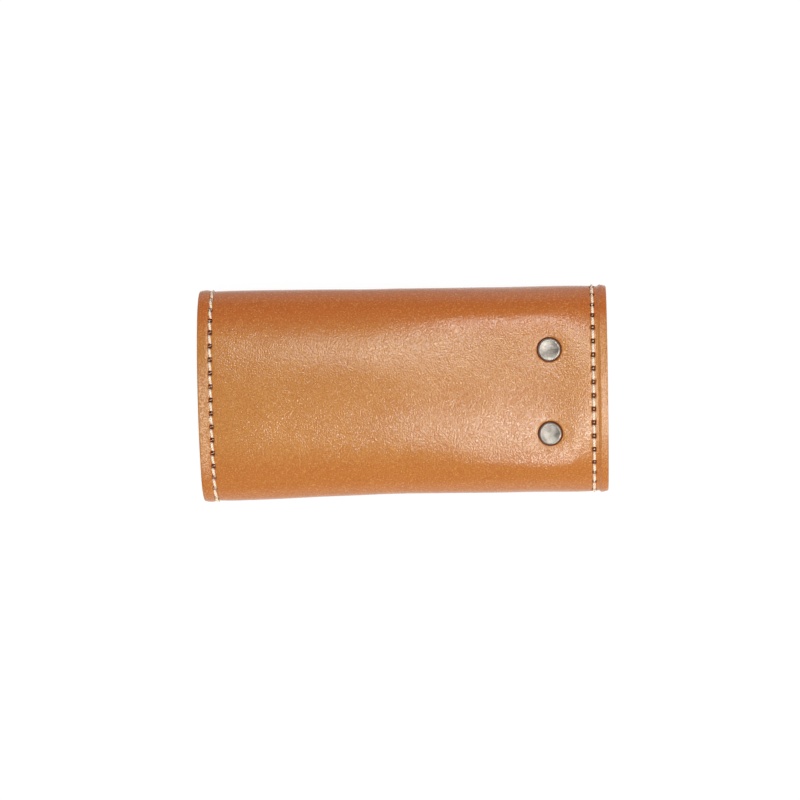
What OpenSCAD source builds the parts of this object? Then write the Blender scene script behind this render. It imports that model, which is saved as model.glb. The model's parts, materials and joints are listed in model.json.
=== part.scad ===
// Leather key case, closed and lying on its front, in millimetres.
// x runs along the folds, y across them and z up from the surface that the case lies on.

/* [Case] */
// Length of the case, along its folds
case_l = 108; // [96:1:126]
// Width of the closed case, across its folds
case_w = 54.5; // [53:0.5:62]
// Radius of the folds, on the outside of the leather
fold_r = 9.1; // [8.8:0.1:11]
// How far the outer flap reaches past the middle of the case
outer_reach = 19; // [17:0.5:20]
// How far the inner flap's free edge stays from the middle of the case
inner_edge = 2; // [1:0.5:2.5]
// Radius of the flaps' free corners
corner_r = 6; // [4:0.5:8]

/* [Leather] */
// Thickness of the outer leather
leather_t = 1.5; // [1.2:0.1:1.6]
// Thickness of the lining
lining_t = 0.9; // [0.6:0.1:1]
// Width of the turned edge that covers the lining's edge
turned_w = 1.1; // [0.8:0.1:1.5]
// Open space between the two closed flaps
flap_gap = 1.8; // [1.7:0.1:2]
// Where the outer flap starts to rise to its snaps, from the middle of the case
rise_start = -6; // [-8:0.5:-5]
// Length over which the outer flap rises
rise_l = 8; // [6:0.5:9]

/* [Stitching] */
// Distance from an edge to its line of stitches
stitch_inset = 3.5; // [3:0.1:4]
// Distance from one stitch to the next
stitch_pitch = 3.55; // [3:0.05:4.5]
// Diameter of the thread
thread_d = 0.7; // [0.5:0.05:0.8]

/* [Rivets and key plate] */
// Distance from the case's right end to the rivets
rivet_inset = 15.2; // [14:0.1:18]
// Distance between the two rivets
rivet_spacing = 22; // [20:0.5:24]
// Diameter of a rivet's cap
rivet_d = 6; // [5:0.1:6.5]
// How far a rivet's cap stands above the leather
rivet_proud = 0.8; // [0.5:0.1:1.2]
// Diameter of a rivet's shaft
shaft_d = 2.4; // [2:0.1:2.8]
// Thickness of a rivet's back disc
rivet_back_t = 0.7; // [0.5:0.1:0.9]
// Distance from each end of the key plate to the fold beside it
plate_gap = 0.15; // [0.1:0.05:0.6]
// Thickness of the key plate
plate_t = 0.8; // [0.6:0.1:1]
// Distance from the rod to the rivets
rod_ahead = 7.3; // [7:0.1:9]
// Diameter of the rod that carries the hooks
rod_d = 1.6; // [1.4:0.1:1.8]

/* [Key hooks] */
// Length of a hook, from the rod to its tip
hook_l = 28; // [24:0.5:30]
// Space between the loops of two hooks
hook_gap = 1.6; // [1.4:0.1:1.8]
// Width of the bar that a hook is made of
bar_w = 1.5; // [1.3:0.1:1.6]
// Thickness of a hook
hook_t = 1.6; // [1.4:0.1:1.8]
// Width of the eye that turns on the rod
eye_w = 3.6; // [3:0.1:4]
// Diameter of a gate's pin
pin_d = 0.7; // [0.6:0.05:0.8]

/* [Snaps] */
// Distance from the middle of the case to each snap, along the case
snap_x = 30; // [24:1:36]
// Distance from the outer flap's edge to the snaps
snap_inset = 9.2; // [9:0.1:9.4]
// Diameter of a snap's cap
snap_d = 10; // [8:0.1:10]
// Thickness of a snap's cap
cap_t = 1; // [0.8:0.1:1.2]
// Diameter of a snap's socket
socket_d = 7.8; // [7:0.1:8]
// Diameter of the hole in a socket
socket_bore = 5; // [4.9:0.1:5.4]
// Diameter of a snap's stud
stud_d = 3.8; // [3.6:0.1:3.9]
// Diameter of a stud's flange and of the head behind it
flange_d = 6.8; // [6:0.1:6.9]

/* [Hidden] */

$fn = 64;

// Colours of the tanned leather, its lining, the thread and the metal
tan = "#C88D5B";
sand = "#B98A62";
ivory = "#E9DFC4";
nickel = "#AFA9A0";

// Clearances: a cut that overruns its solid, a running fit, a shaft in its hole, and pieces kept apart
over = 0.5;
run_gap = 0.05;
hole_gap = 0.1;
part_gap = 0.2;
// Slit between two lengths of the fold, and room left round the lining and under a stitch
slit = 0.1;
lining_gap = 0.1;
thread_gap = 0.05;

// Halves of the sizes above, and heights that follow from them
half_l = case_l / 2;
half_w = case_w / 2;
skin_t = leather_t + lining_t;
back_z = 2 * fold_r;
lining_z = back_z - skin_t;
outer_top_z = cap_t + skin_t;
inner_z = outer_top_z + flap_gap;
inner_top_z = inner_z + skin_t;
inner_fold_r = fold_r - inner_z;
lined_x = half_l - turned_w;

// Centres of the folds, each as its y and z
lower_c = [-(half_w - fold_r), fold_r];
upper_c = [half_w - fold_r, fold_r];
inner_c = [half_w - inner_fold_r, fold_r];

// The folds turn on lines this far round, where each length meets the next
fold_angle = 60;
half_angle = fold_angle / 2;
side_angle = 90;

// The stitch lines, the groove that a stitch lies in, and the share of a step that a stitch fills
row_x = half_l - stitch_inset;
thread_r = thread_d / 2;
groove_w = thread_d + 2 * hole_gap;
groove_d = thread_d + thread_gap;
stitch_share = 0.65;
row_corner = max(corner_r - stitch_inset, thread_d);

// Places and sizes of the rivets, plate and rod, with the hooks spread evenly over the plate
rivet_x = half_l - rivet_inset;
rivet_y = rivet_spacing / 2;
plate_l = 2 * (half_w - fold_r - plate_gap);
hook_count = 4;
hook_pitch = plate_l / hook_count;
seat_sink = 0.3;
plate_z = lining_z - plate_t;
plate_tail = 6.5;
plate_corner = 2;
rod_x = rivet_x - rod_ahead;
rod_r = rod_d / 2;
knuckle_r = rod_r + plate_t;
rod_z = lining_z - knuckle_r;
knuckle_l = hook_pitch - eye_w - 2 * part_gap;
end_knuckle_l = (hook_pitch - eye_w) / 2 - part_gap;
head_lip = 0.5;
head_r = rod_r + head_lip;
head_t = 0.6;
eye_relief = 0.15;
eye_r = knuckle_r - eye_relief;
notch_x = rod_x + eye_r + 3 * part_gap;

// Places and sizes along a hook, measured from the rod towards its tip
neck_l = 1.15;
gate_root_l = 2.7;
nose_l = 2.3;
hook_w = hook_pitch - hook_gap;
loop_r = hook_w / 2;
loop_start = eye_r + neck_l + loop_r;
loop_end = hook_l - loop_r;
arm_y = loop_r - bar_w / 2;
gate_start = loop_start + gate_root_l;
gate_end = loop_end - nose_l;
tab_t = 0.6;
tip_gap = 0.6;
inner_droop = asin((rod_z - hook_t / 2 - inner_top_z - tip_gap) / hook_l);
outer_droop = asin((rod_z - hook_t / 2 - outer_top_z - tip_gap) / hook_l);

// Place across the case, and sizes inside a snap
snap_y = outer_reach - snap_inset;
stud_flange_t = 0.4;
snap_gap = 0.3;
socket_t = flap_gap - stud_flange_t - snap_gap;
socket_base_t = 0.3;
stud_bite = 0.6;
post_r = 1.1;
cap_shaft_r = 1.5;
post_head_t = 0.5;
cap_edge = 0.6;

// Half a slit as an angle, in whole hundredths of a degree so that a fold still ends square to its flap
function slit_angle(r) = round(100 * slit / (2 * r) * 180 / PI) / 100;

function arc_len(r, turn) = r * turn * PI / 180;

function steps(length) = max(1, round(length / stitch_pitch));

function rise(y) = cap_t * min(1, max(0, (y - rise_start) / rise_l));

// Height and the y and z points of a layer of the outer flap, from one y to another
function layer(low, high, from, to) = let (ys = [from, rise_start, rise_start + rise_l, to]) concat(
    [for (y = ys) [y, rise(y) + low]],
    [for (i = [3:-1:0]) [ys[i], rise(ys[i]) + high]]
);

// Turns an outline of y and z into a bar along x
module along_x(x0, x1)
    translate([x0, 0, 0]) rotate([90, 0, 90]) linear_extrude(x1 - x0) children();

// Part of a tube along x: an outer radius, a wall and the two angles between which it runs
module bend(centre, r, t, from, to, x0, x1)
    translate([x0, centre[0], centre[1]]) rotate([90, 0, 90]) rotate([0, 0, from])
        rotate_extrude(angle = to - from) translate([r - t, 0]) square([t, x1 - x0]);

module box(x0, x1, y0, y1, z0, z1)
    translate([x0, y0, z0]) cube([x1 - x0, y1 - y0, z1 - z0]);

module disc(r, z0, z1)
    translate([0, 0, z0]) cylinder(r = r, h = z1 - z0);

module at_ends()
    for (side = [-1, 1]) translate([side * row_x, 0, 0]) children();

module at_rivets()
    for (side = [-1, 1]) translate([rivet_x, side * rivet_y, 0]) children();

module at_snaps()
    for (side = [-1, 1]) translate([side * snap_x, snap_y, 0]) children();

// One length of a fold: its leather, with the turned edges and the grooves for the thread
module bend_leather(centre, r, from, to) {
    extra = side_angle / 4;
    difference() {
        bend(centre, r, skin_t, from, to, -half_l, half_l);
        bend(centre, r - leather_t, lining_t + over, from - extra, to + extra, -lined_x, lined_x);
        at_ends() bend(centre, r + over, groove_d + over, from - extra, to + extra, -groove_w / 2, groove_w / 2);
    }
}

module bend_lining(centre, r, from, to)
    bend(centre, r - leather_t, lining_t, from, to, lining_gap - lined_x, lined_x - lining_gap);

// The stitches round one length of a fold, at both ends of the case
module bend_stitches(centre, r, from, to) {
    count = steps(arc_len(r, to - from));
    step = (to - from) / count;
    length = arc_len(r, step) * stitch_share;
    at_ends() translate([0, centre[0], centre[1]]) for (i = [0:count - 1])
        rotate([from + (i + 0.5) * step, 0, 0]) translate([0, r - thread_r, -length / 2])
            cylinder(r = thread_r, h = length);
}

// A straight row of stitches along y, on a face at the height z
module row_along_y(from, to, z) {
    count = steps(to - from);
    step = (to - from) / count;
    for (i = [0:count - 1]) translate([0, from + (i + 0.5) * step, z]) rotate([90, 0, 0])
        cylinder(r = thread_r, h = step * stitch_share, center = true);
}

// A straight row of stitches along x
module row_along_x(half, y, z) {
    count = steps(2 * half);
    step = 2 * half / count;
    for (i = [0:count - 1]) translate([(i + 0.5) * step - half, y, z]) rotate([0, 90, 0])
        cylinder(r = thread_r, h = step * stitch_share, center = true);
}

// A flap seen from above: round free corners at its edge, square where the fold starts
module flap_plan(half, r, fold_y, edge_y) {
    way = sign(edge_y - fold_y);
    near = edge_y - way * r;
    translate([-half, min(fold_y, near)]) square([2 * half, abs(near - fold_y)]);
    translate([r - half, min(near, edge_y)]) square([2 * (half - r), r]);
    for (side = [-1, 1]) translate([side * (half - r), near]) circle(r);
}

module flap_prism(inset, fold_y, edge_y)
    translate([0, 0, -over]) linear_extrude(back_z)
        flap_plan(half_l - inset, corner_r - inset, fold_y, edge_y - sign(edge_y - fold_y) * inset);

// The back, which carries the rivets and the key plate

module back_leather() color(tan) difference() {
    union() {
        box(-half_l, half_l, lower_c[0], upper_c[0], lining_z, back_z);
        bend(lower_c, fold_r, skin_t, side_angle, side_angle + half_angle - slit_angle(fold_r), -half_l, half_l);
        bend(upper_c, fold_r, skin_t, side_angle - half_angle + slit_angle(fold_r), side_angle, -half_l, half_l);
    }
    back_room(lining_t + over, side_angle);
    at_ends() {
        box(-groove_w / 2, groove_w / 2, lower_c[0], upper_c[0], back_z - groove_d, back_z + over);
        bend(lower_c, fold_r + over, groove_d + over, side_angle, 2 * side_angle, -groove_w / 2, groove_w / 2);
        bend(upper_c, fold_r + over, groove_d + over, 0, side_angle, -groove_w / 2, groove_w / 2);
    }
    at_rivets() {
        disc(shaft_d / 2 + run_gap, lining_z - over, back_z + over);
        disc(rivet_d / 2 + part_gap, back_z - seat_sink, back_z + over);
    }
}

// The space under the leather of the back that its lining fills
module back_room(t, turn) {
    box(-lined_x, lined_x, lower_c[0], upper_c[0], lining_z + lining_t - t, lining_z + lining_t);
    bend(lower_c, fold_r - leather_t, t, side_angle, side_angle + turn, -lined_x, lined_x);
    bend(upper_c, fold_r - leather_t, t, side_angle - turn, side_angle, -lined_x, lined_x);
}

module back_lining() color(sand) difference() {
    intersection() {
        back_room(lining_t, half_angle - slit_angle(fold_r));
        box(lining_gap - lined_x, lined_x - lining_gap, -half_w, half_w, 0, back_z);
    }
    at_rivets() disc(shaft_d / 2 + run_gap, lining_z - over, back_z);
}

module back_stitches() color(ivory) {
    at_ends() row_along_y(lower_c[0], upper_c[0], back_z - thread_r);
    bend_stitches(lower_c, fold_r, side_angle, side_angle + half_angle);
    bend_stitches(upper_c, fold_r, side_angle - half_angle, side_angle);
}

// The lower fold, in two lengths between the back and the outer flap

lower_a = side_angle + half_angle;
lower_b = lower_a + fold_angle;
lower_end = lower_b + fold_angle;

module lower_length(kind, from) {
    start = from + slit_angle(fold_r);
    end = from + fold_angle - slit_angle(fold_r);
    if (kind == "leather") color(tan) bend_leather(lower_c, fold_r, start, end);
    if (kind == "lining") color(sand) bend_lining(lower_c, fold_r, start, end);
    if (kind == "stitches") color(ivory) bend_stitches(lower_c, fold_r, from, from + fold_angle);
}

// The upper fold: a wide length next to the back, and a tight one next to the inner flap

module upper_length(kind, centre, r, from) {
    start = from + slit_angle(r);
    end = from + fold_angle - slit_angle(r);
    if (kind == "leather") color(tan) bend_leather(centre, r, start, end);
    if (kind == "lining") color(sand) bend_lining(centre, r, start, end);
    if (kind == "stitches") color(ivory) bend_stitches(centre, r, from, from + fold_angle);
}

// The outer flap, which lies on the surface below and carries the caps and sockets of the snaps

outer_bend = 3 * side_angle;
outer_row_y = outer_reach - stitch_inset;

// A layer of the outer flap and of the end of its fold, between two depths in the skin
module outer_layer(low, high, inset, start) intersection() {
    union() {
        bend(lower_c, fold_r - low, high - low, start, outer_bend, -half_l, half_l);
        along_x(-half_l, half_l) polygon(layer(low, high, lower_c[0], outer_reach));
    }
    flap_prism(inset, -half_w - over, outer_reach);
}

module outer_flap_leather() color(tan) difference() {
    outer_layer(0, skin_t, 0, lower_end + slit_angle(fold_r));
    outer_layer(leather_t, skin_t + over, turned_w, 2 * side_angle);
    at_ends() {
        bend(lower_c, fold_r + over, groove_d + over, 2 * side_angle, outer_bend, -groove_w / 2, groove_w / 2);
        along_x(-groove_w / 2, groove_w / 2)
            polygon(layer(-over, groove_d, lower_c[0], outer_row_y - row_corner));
    }
    box(row_corner - row_x, row_x - row_corner, outer_row_y - groove_w / 2, outer_row_y + groove_w / 2,
        0, cap_t + groove_d);
    at_snaps() disc(cap_shaft_r + run_gap, 0, outer_top_z + over);
}

module outer_flap_lining() color(sand) difference() {
    outer_layer(leather_t, skin_t, turned_w + lining_gap, lower_end + slit_angle(fold_r));
    at_snaps() disc(cap_shaft_r + run_gap, 0, outer_top_z + over);
}

module outer_flap_stitches() color(ivory) {
    rise_angle = atan(cap_t / rise_l);
    bend_stitches(lower_c, fold_r, lower_end, outer_bend);
    at_ends() {
        row_along_y(lower_c[0], rise_start, thread_r);
        translate([0, rise_start, 0]) rotate([rise_angle, 0, 0])
            row_along_y(0, rise_l / cos(rise_angle), thread_r);
        row_along_y(rise_start + rise_l, outer_row_y - row_corner, cap_t + thread_r);
    }
    row_along_x(row_x - row_corner, outer_row_y, cap_t + thread_r);
}

// The inner flap, which lies between the keys and the outer flap

inner_row_y = inner_edge + stitch_inset;

// A layer of the inner flap and of the end of its fold, between two depths in the skin
module inner_layer(low, high, inset, end) intersection() {
    union() {
        bend(inner_c, inner_fold_r - low, high - low, -side_angle, end, -half_l, half_l);
        box(-half_l, half_l, inner_edge, inner_c[0], inner_z + low, inner_z + high);
    }
    flap_prism(inset, half_w + over, inner_edge);
}

module inner_flap_leather() color(tan) difference() {
    inner_layer(0, skin_t, 0, -fold_angle - slit_angle(inner_fold_r));
    inner_layer(leather_t, skin_t + over, turned_w, 0);
    at_ends() {
        bend(inner_c, inner_fold_r + over, groove_d + over, -side_angle, 0, -groove_w / 2, groove_w / 2);
        box(-groove_w / 2, groove_w / 2, inner_row_y + row_corner, inner_c[0], inner_z - over, inner_z + groove_d);
    }
    box(row_corner - row_x, row_x - row_corner, inner_row_y - groove_w / 2, inner_row_y + groove_w / 2,
        inner_z - over, inner_z + groove_d);
    at_snaps() disc(post_r + run_gap, inner_z - over, inner_top_z + over);
}

module inner_flap_lining() color(sand) difference() {
    inner_layer(leather_t, skin_t, turned_w + lining_gap, -fold_angle - slit_angle(inner_fold_r));
    at_snaps() disc(post_r + run_gap, inner_z - over, inner_top_z + over);
}

module inner_flap_stitches() color(ivory) {
    bend_stitches(inner_c, inner_fold_r, -side_angle, -fold_angle);
    at_ends() row_along_y(inner_row_y + row_corner, inner_c[0], inner_z + thread_r);
    row_along_x(row_x - row_corner, inner_row_y, inner_z + thread_r);
}

// The rivets, the plate that they hold under the lining, and the rod in its knuckles

// A rivet's cap from its middle out: how far it is dimpled, and how much its edge drops
dimple_share = 0.4;
dimple_t = 0.15;
edge_share = 0.88;
edge_drop = 0.35;

module rivet_caps() color(nickel) at_rivets() {
    r = rivet_d / 2;
    top = back_z + rivet_proud;
    rotate_extrude() polygon([
        [0, back_z - seat_sink], [r, back_z - seat_sink], [r, top - edge_drop], [edge_share * r, top],
        [dimple_share * r, top], [0, top - dimple_t]
    ]);
    disc(shaft_d / 2, plate_z - rivet_back_t, back_z - seat_sink);
}

module rivet_backs() color(nickel) at_rivets() difference() {
    disc(rivet_d / 2, plate_z - rivet_back_t, plate_z);
    disc(shaft_d / 2, plate_z - rivet_back_t - over, plate_z + over);
}

module knuckle(y, length) {
    translate([rod_x, y, rod_z]) rotate([90, 0, 0]) cylinder(r = knuckle_r, h = length, center = true);
    box(rod_x, notch_x + over, y - length / 2, y + length / 2, plate_z, lining_z);
}

module key_plate() color(nickel) difference() {
    tail_x = rivet_x + plate_tail;
    union() {
        box(notch_x, tail_x - plate_corner, -plate_l / 2, plate_l / 2, plate_z, lining_z);
        box(notch_x, tail_x, plate_corner - plate_l / 2, plate_l / 2 - plate_corner, plate_z, lining_z);
        for (side = [-1, 1]) {
            translate([tail_x - plate_corner, side * (plate_l / 2 - plate_corner), 0])
                disc(plate_corner, plate_z, lining_z);
            knuckle(side * hook_pitch, knuckle_l);
            knuckle(side * (plate_l - end_knuckle_l) / 2, end_knuckle_l);
        }
        knuckle(0, knuckle_l);
    }
    translate([rod_x, 0, rod_z]) rotate([90, 0, 0]) cylinder(r = rod_r, h = plate_l + over, center = true);
    at_rivets() disc(shaft_d / 2 + run_gap, plate_z - over, lining_z + over);
}

module hook_rod() color(nickel) translate([rod_x, 0, rod_z]) rotate([90, 0, 0]) {
    cylinder(r = rod_r, h = plate_l, center = true);
    for (side = [-1, 1]) translate([0, 0, side * (plate_l + head_t) / 2])
        cylinder(r = head_r, h = head_t, center = true);
}

// Four hooks hang from the rod: two above the outer flap, then two above the inner flap

function hook_y(i) = (i - (hook_count + 1) / 2) * hook_pitch;

function droop(i) = hook_y(i) < 0 ? outer_droop : inner_droop;

module at_hook(i)
    translate([rod_x, hook_y(i), rod_z]) rotate([0, -droop(i), 0]) children();

// A flat bar in the hook's plane, as thick as t
module plate_bar(from, to, y0, y1, t)
    box(-to, -from, y0, y1, -t / 2, t / 2);

module plate_disc(along, y, r, t)
    translate([-along, y, 0]) cylinder(r = r, h = t, center = true);

module loop(r, t) {
    plate_disc(loop_start, 0, r, t);
    plate_disc(loop_end, 0, r, t);
    plate_bar(loop_start, loop_end, -r, r, t);
}

module hook(i) color(nickel) at_hook(i) difference() {
    arm_r = bar_w / 2;
    union() {
        rotate([90, 0, 0]) cylinder(r = eye_r, h = eye_w, center = true);
        plate_bar(0, loop_start - loop_r + bar_w / 2, -eye_w / 2, eye_w / 2, hook_t);
        difference() {
            loop(loop_r, hook_t);
            loop(loop_r - bar_w, hook_t + over);
            plate_bar(gate_start - arm_r - part_gap, gate_end, 0, loop_r + over, hook_t + over);
        }
        plate_disc(gate_start, arm_y, arm_r, tab_t);
        plate_bar(gate_start - arm_r - 2 * part_gap, gate_start, arm_y - arm_r, arm_y + arm_r, tab_t);
    }
    rotate([90, 0, 0]) cylinder(r = rod_r + run_gap, h = eye_w + over, center = true);
    plate_disc(gate_start, arm_y, pin_d / 2, hook_t);
}

module gate(i) color(nickel) at_hook(i) difference() {
    arm_r = bar_w / 2;
    union() {
        plate_disc(gate_start, arm_y, arm_r, hook_t);
        plate_bar(gate_start, gate_end - part_gap, arm_y - arm_r, arm_y + arm_r, hook_t);
    }
    plate_bar(gate_start - bar_w, gate_start + arm_r + part_gap, 0, loop_r + over, tab_t + 2 * run_gap);
    plate_disc(gate_start, arm_y, pin_d / 2 + run_gap, hook_t + over);
}

module gate_pin(i) color(nickel) at_hook(i) plate_disc(gate_start, arm_y, pin_d / 2, hook_t);

// The two snaps: cap and socket on the outer flap, stud and its post on the inner flap

module snap_caps() color(nickel) at_snaps() {
    r = snap_d / 2;
    rotate_extrude() polygon([[0, 0], [r - cap_edge, 0], [r, cap_edge], [r, cap_t], [0, cap_t]]);
    disc(cap_shaft_r, cap_t, outer_top_z + socket_base_t);
}

module snap_sockets() color(nickel) at_snaps() difference() {
    disc(socket_d / 2, outer_top_z, outer_top_z + socket_t);
    disc(socket_bore / 2, outer_top_z + socket_base_t, outer_top_z + socket_t + over);
    disc(cap_shaft_r, outer_top_z - over, outer_top_z + socket_t);
}

module snap_studs() color(nickel) at_snaps() difference() {
    socket_top = outer_top_z + socket_t;
    union() {
        disc(flange_d / 2, inner_z - stud_flange_t, inner_z);
        disc(stud_d / 2, socket_top - stud_bite, inner_z);
    }
    disc(post_r, socket_top, inner_z + over);
}

module snap_posts() color(nickel) at_snaps() {
    disc(flange_d / 2, inner_top_z, inner_top_z + post_head_t);
    disc(post_r, outer_top_z + socket_t, inner_top_z);
}

upper_a = side_angle - half_angle - fold_angle;
upper_b = upper_a - fold_angle;

back_leather();
back_lining();
back_stitches();
lower_length("leather", lower_a);  // lower_fold_a_leather
lower_length("lining", lower_a);  // lower_fold_a_lining
lower_length("stitches", lower_a);  // lower_fold_a_stitches
lower_length("leather", lower_b);  // lower_fold_b_leather
lower_length("lining", lower_b);  // lower_fold_b_lining
lower_length("stitches", lower_b);  // lower_fold_b_stitches
outer_flap_leather();
outer_flap_lining();
outer_flap_stitches();
upper_length("leather", upper_c, fold_r, upper_a);  // upper_fold_a_leather
upper_length("lining", upper_c, fold_r, upper_a);  // upper_fold_a_lining
upper_length("stitches", upper_c, fold_r, upper_a);  // upper_fold_a_stitches
upper_length("leather", inner_c, inner_fold_r, upper_b);  // upper_fold_b_leather
upper_length("lining", inner_c, inner_fold_r, upper_b);  // upper_fold_b_lining
upper_length("stitches", inner_c, inner_fold_r, upper_b);  // upper_fold_b_stitches
inner_flap_leather();
inner_flap_lining();
inner_flap_stitches();
rivet_caps();
rivet_backs();
key_plate();
hook_rod();
hook(1);  // hook_1
hook(2);  // hook_2
hook(3);  // hook_3
hook(4);  // hook_4
gate(1);  // gate_1
gate(2);  // gate_2
gate(3);  // gate_3
gate(4);  // gate_4
gate_pin(1);  // gate_pin_1
gate_pin(2);  // gate_pin_2
gate_pin(3);  // gate_pin_3
gate_pin(4);  // gate_pin_4
snap_caps();
snap_sockets();
snap_studs();
snap_posts();
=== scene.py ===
import json
import math

import bpy
import numpy as np
from mathutils import Matrix, Vector

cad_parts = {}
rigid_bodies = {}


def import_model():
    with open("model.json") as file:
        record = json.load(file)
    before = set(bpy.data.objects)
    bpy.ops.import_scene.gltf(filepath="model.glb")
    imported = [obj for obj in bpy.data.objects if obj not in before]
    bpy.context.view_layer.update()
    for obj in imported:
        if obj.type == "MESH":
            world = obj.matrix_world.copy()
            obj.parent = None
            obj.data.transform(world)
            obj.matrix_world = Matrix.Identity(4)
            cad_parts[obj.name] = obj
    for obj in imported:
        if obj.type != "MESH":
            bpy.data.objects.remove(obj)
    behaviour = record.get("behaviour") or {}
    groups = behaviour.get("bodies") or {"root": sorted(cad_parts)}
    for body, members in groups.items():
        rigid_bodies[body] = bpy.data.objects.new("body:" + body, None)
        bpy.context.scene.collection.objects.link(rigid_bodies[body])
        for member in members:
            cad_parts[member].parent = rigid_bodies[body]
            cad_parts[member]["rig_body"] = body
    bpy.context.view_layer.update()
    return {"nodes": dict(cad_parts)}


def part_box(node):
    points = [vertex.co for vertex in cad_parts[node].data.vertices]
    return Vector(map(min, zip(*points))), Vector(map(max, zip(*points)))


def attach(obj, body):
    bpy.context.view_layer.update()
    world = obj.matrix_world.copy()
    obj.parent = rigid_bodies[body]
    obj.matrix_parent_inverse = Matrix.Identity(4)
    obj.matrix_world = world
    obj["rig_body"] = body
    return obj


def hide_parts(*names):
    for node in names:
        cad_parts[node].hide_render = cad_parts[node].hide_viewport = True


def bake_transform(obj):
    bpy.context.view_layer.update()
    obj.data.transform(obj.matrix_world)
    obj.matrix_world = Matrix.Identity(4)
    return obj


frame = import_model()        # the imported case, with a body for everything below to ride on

mm = 0.001
quarter = math.pi / 2                            # a quarter turn
tiny = 1e-9                                      # keeps a division away from nothing


# Nodes written as sums

class Wire:                                      # a shader socket that can stand in a sum
    def __init__(self, finish, socket):
        self.finish = finish
        self.socket = socket

    def sum(self, operation, first, second):
        return self.finish.node("ShaderNodeMath", {"operation": operation}, {0: first, 1: second})

    def __add__(self, other):
        return self.sum("ADD", self, other)

    def __radd__(self, other):
        return self.sum("ADD", other, self)

    def __sub__(self, other):
        return self.sum("SUBTRACT", self, other)

    def __rsub__(self, other):
        return self.sum("SUBTRACT", other, self)

    def __mul__(self, other):
        return self.sum("MULTIPLY", self, other)

    def __rmul__(self, other):
        return self.sum("MULTIPLY", other, self)

    def between(self, low, high):                # 0 below low, 1 above high, eased
        limits = {"Value": self, "From Min": low, "From Max": high}
        return self.finish.node("ShaderNodeMapRange", {"interpolation_type": "SMOOTHSTEP"}, limits)


class Finish:                                    # one material, or the world, and its nodes
    def __init__(self, name, kind=bpy.data.materials):
        self.material = kind.new(name)
        self.material.use_nodes = True
        self.tree = self.material.node_tree
        self.tree.nodes.clear()

    def node(self, kind, settings=None, inputs=None, output=0):
        made = self.tree.nodes.new(kind)
        for name, value in (settings or {}).items():
            setattr(made, name, value)
        for name, value in (inputs or {}).items():
            if isinstance(value, Wire):
                self.tree.links.new(value.socket, made.inputs[name])
            else:
                made.inputs[name].default_value = value
        return Wire(self, made.outputs[output]) if len(made.outputs) else made

    def mix(self, factor, first, second):
        colours = {0: factor, 6: first, 7: second}
        return self.node("ShaderNodeMix", {"data_type": "RGBA"}, colours, 2)

    def noise(self, place, scale, detail=2, roughness=0.5, distortion=0):
        values = {"Vector": place, "Scale": scale, "Detail": detail, "Roughness": roughness,
                  "Distortion": distortion}
        return self.node("ShaderNodeTexNoise", None, values)

    def attribute(self, name, output):
        return self.node("ShaderNodeAttribute", {"attribute_name": name}, None, output)

    def bump(self, height, depth, below=None):
        values = {"Height": height, "Distance": depth, "Strength": 1}
        if below:
            values["Normal"] = below
        return self.node("ShaderNodeBump", None, values)

    def surface(self, values):
        shader = self.node("ShaderNodeBsdfPrincipled", None, values)
        self.node("ShaderNodeOutputMaterial", None, {"Surface": shader})
        return self.material


def tint(red, green, blue):                      # a screen colour as a shader colour
    return tuple(((c / 255 + 0.055) / 1.055) ** 2.4 for c in (red, green, blue)) + (1,)


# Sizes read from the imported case, in millimetres

def corners(node):                               # lowest and highest corner of a CAD node
    return [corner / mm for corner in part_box(node)]


backHigh = corners("back_leather")[1]
foldLow = corners("lower_fold_a_leather")[0]
flapLow, flapHigh = corners("outer_flap_leather")
innerLow = corners("inner_flap_leather")[0]
rivetLow, rivetHigh = corners("rivet_caps")

case = {
    "halfLength": backHigh.x,
    "halfWidth": -foldLow.y,
    "top": backHigh.z,
    "leather": 1.5,                              # thickness of the leather
    "lining": 0.9,                               # and of the lining
    "cornerRadius": 6,                           # of the flaps' free corners
    "riseStart": -6,                             # the outer flap leaves the table here
    "riseEnd": 2,
    "rise": 1.0,
    "easeLength": 2,                             # length of the bend at each end of its rise
    "tableGap": 0.02,                            # no leather lies lower than this
}
case["skin"] = case["leather"] + case["lining"]
case["foldRadius"] = (case["top"] - flapLow.z) / 2
case["innerRadius"] = case["top"] - case["foldRadius"] - innerLow.z
case["flatHalf"] = case["halfWidth"] - case["foldRadius"]


def flapRuns():                                  # length and turn of each run, from the middle of the back
    outer, inner = case["foldRadius"], case["innerRadius"]
    run, rise, bent = case["riseEnd"] - case["riseStart"], case["rise"], case["easeLength"]
    slope = math.atan2(rise, run)
    upper = [(case["flatHalf"], 0), (quarter * outer, quarter), (quarter * inner, quarter),
             (case["halfWidth"] - inner - innerLow.y, 0)]
    lower = [(case["flatHalf"], 0), (2 * quarter * outer, 2 * quarter),
             (case["flatHalf"] + case["riseStart"] - bent / 2, 0), (bent, slope),
             (math.hypot(run, rise) - bent, 0), (bent, -slope),
             (flapHigh.y - case["riseEnd"] - bent / 2, 0)]
    return upper, lower


upperRuns, lowerRuns = flapRuns()
upperEnd = sum(length for length, turn in upperRuns)
lowerEnd = -sum(length for length, turn in lowerRuns)


def walk(runs, distance):                        # place and heading at a distance along the runs
    across, down, heading = (np.zeros_like(distance) for axis in range(3))
    passed = base = 0
    for length, turn in runs:
        part = np.clip(distance - passed, 0, length)
        if turn:
            radius = length / turn
            across += radius * (np.sin(base + part / radius) - math.sin(base))
            down += radius * (math.cos(base) - np.cos(base + part / radius))
            heading += part / radius
        else:
            across += part * math.cos(base)
            down += part * math.sin(base)
        passed += length
        base += turn
    return across, down, heading


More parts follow.
